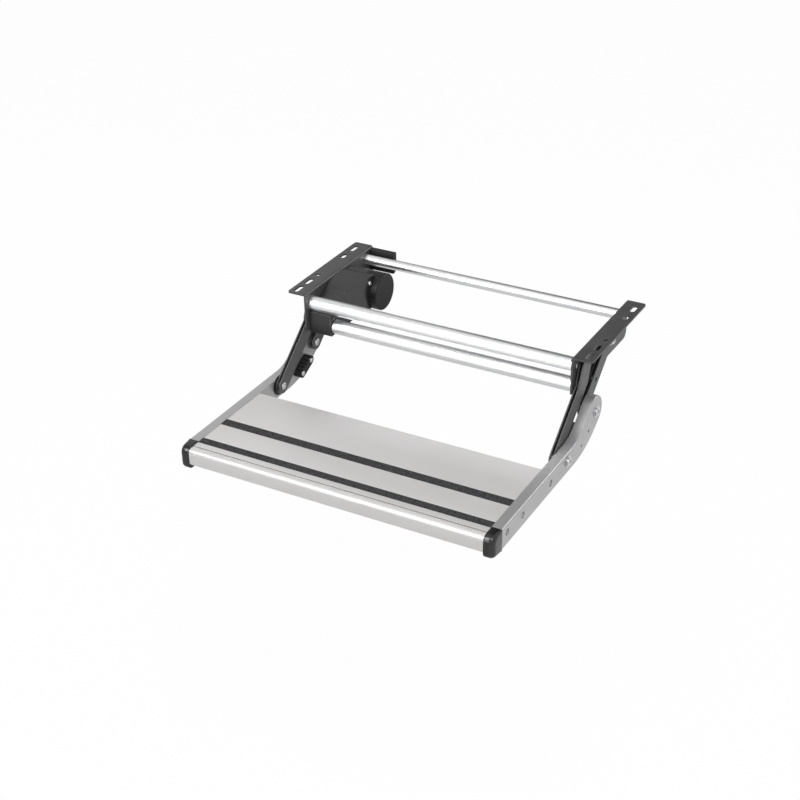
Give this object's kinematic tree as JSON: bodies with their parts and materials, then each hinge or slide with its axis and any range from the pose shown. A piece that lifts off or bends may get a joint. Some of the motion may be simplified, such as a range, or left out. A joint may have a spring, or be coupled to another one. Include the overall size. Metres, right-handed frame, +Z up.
{
  "type": "folding entry step",
  "caption": "Folding vehicle entry step: a wide ribbed tread on parallel swinging arms under slotted brackets, driven by a motor and spur gears in an arched case.",
  "frame": {"origin": "midway between the round fixing holes, in the plane of the flanges' top faces", "axes": "+X to the right seen from the front of the step, -Y out towards the user, +Z up"},
  "size_m": [0.5584, 0.5735, 0.164],
  "materials": {
    "black_steel": "satin black powder coat",
    "bright_tube": "polished",
    "zinc_steel": "zinc plated",
    "gear_steel": "machined",
    "bearing_plastic": "matte",
    "black_casting": "satin black coating",
    "black_plastic": "matte",
    "black_rubber": "matte",
    "tread_aluminium": "fine satin anodised",
    "grey_plate": "grey coating",
    "grip": "gritty",
    "gloss_black": "glossy"
  },
  "bodies": {
    "frame": {"bracket_left": "black_steel", "bracket_right": "black_steel", "upper_tube": "bright_tube", "rear_tube": "bright_tube", "upper_tube_plugs": "zinc_steel", "rear_tube_plugs": "zinc_steel", "upper_tube_screws": "zinc_steel", "rear_tube_screws": "zinc_steel", "shaft_bushes": "bearing_plastic", "rear_pivot_studs": "zinc_steel", "rear_pivot_washers": "zinc_steel", "gear_case_cover": "black_casting", "gear_case_back": "black_casting", "gear_case_screws": "black_steel", "motor_shoulder_screw": "zinc_steel", "shaft_seal": "black_rubber", "motor_can": "black_casting", "motor_core": "zinc_steel", "motor_gearhead": "zinc_steel", "front_idler_pin": "zinc_steel", "rear_idler_pin": "zinc_steel", "control_box": "black_plastic", "control_box_base": "black_plastic", "cable_gland": "black_plastic"},
    "front_arms": {"drive_tube": "bright_tube", "stub_shaft_left": "black_steel", "stub_shaft_right": "black_steel", "front_arm_left": "black_steel", "front_arm_right": "black_steel", "front_arm_bush_left": "zinc_steel", "front_arm_bush_right": "zinc_steel", "output_gear": "gear_steel"},
    "rear_arm_left": {"rear_arm_left": "black_steel", "rear_arm_upper_bush_left": "zinc_steel", "rear_arm_lower_bush_left": "zinc_steel"},
    "rear_arm_right": {"rear_arm_right": "black_steel", "rear_arm_upper_bush_right": "zinc_steel", "rear_arm_lower_bush_right": "zinc_steel"},
    "platform": {"tread": "tread_aluminium", "grip_strip_front": "grip", "grip_strip_rear": "grip", "side_plate_left": "grey_plate", "side_plate_right": "grey_plate", "end_cap_left": "gloss_black", "end_cap_right": "gloss_black", "side_plate_screws": "zinc_steel", "front_foot_bolt_left": "zinc_steel", "front_foot_bolt_right": "zinc_steel", "rear_foot_bolt_left": "zinc_steel", "rear_foot_bolt_right": "zinc_steel", "foot_washers": "zinc_steel", "pivot_discs": "bearing_plastic", "stop_block_left": "black_rubber", "stop_block_right": "black_rubber", "stop_block_screws": "zinc_steel"},
    "front_idler": {"front_idler_gear": "gear_steel"},
    "rear_idler": {"rear_idler_gear": "gear_steel"},
    "pinion": {"motor_pinion": "gear_steel"}
  },
  "joints": [
    {"name": "front_arm_pivot", "type": "hinge", "parent": "frame", "child": "front_arms", "pos_m": [0, -0.056, -0.06], "axis": [1, 0, 0], "range_deg": [0, 113]},
    {"name": "rear_arm_pivot_left", "type": "hinge", "parent": "frame", "child": "rear_arm_left", "pos_m": [-0.252, 0.054, -0.027], "axis": [1, 0, 0], "range_deg": [0, 113]},
    {"name": "rear_arm_pivot_right", "type": "hinge", "parent": "frame", "child": "rear_arm_right", "pos_m": [0.252, 0.054, -0.027], "axis": [1, 0, 0], "range_deg": [0, 113]},
    {"name": "platform_pivot", "type": "hinge", "parent": "front_arms", "child": "platform", "pos_m": [0, -0.153, -0.14], "axis": [1, 0, 0], "range_deg": [-113, 0]},
    {"name": "front_idler_spin", "type": "hinge", "parent": "frame", "child": "front_idler", "pos_m": [-0.2335, -0.02569, -0.04897], "axis": [1, 0, 0], "range_deg": [-55, 0]},
    {"name": "rear_idler_spin", "type": "hinge", "parent": "frame", "child": "rear_idler", "pos_m": [-0.2335, 0.01831, -0.04434], "axis": [1, 0, 0], "range_deg": [0, 53]},
    {"name": "pinion_spin", "type": "hinge", "parent": "frame", "child": "pinion", "pos_m": [-0.2335, 0.04951, -0.03996], "axis": [1, 0, 0], "range_deg": [-132, 0]}
  ],
  "couplings": [
    {"joint": "rear_arm_pivot_left", "follows": "front_arm_pivot", "ratio": 1},
    {"joint": "rear_arm_pivot_right", "follows": "front_arm_pivot", "ratio": 1},
    {"joint": "platform_pivot", "follows": "front_arm_pivot", "ratio": -1},
    {"joint": "front_idler_spin", "follows": "front_arm_pivot", "ratio": -0.48276},
    {"joint": "rear_idler_spin", "follows": "front_arm_pivot", "ratio": 0.46667},
    {"joint": "pinion_spin", "follows": "front_arm_pivot", "ratio": -1.1667}
  ]
}
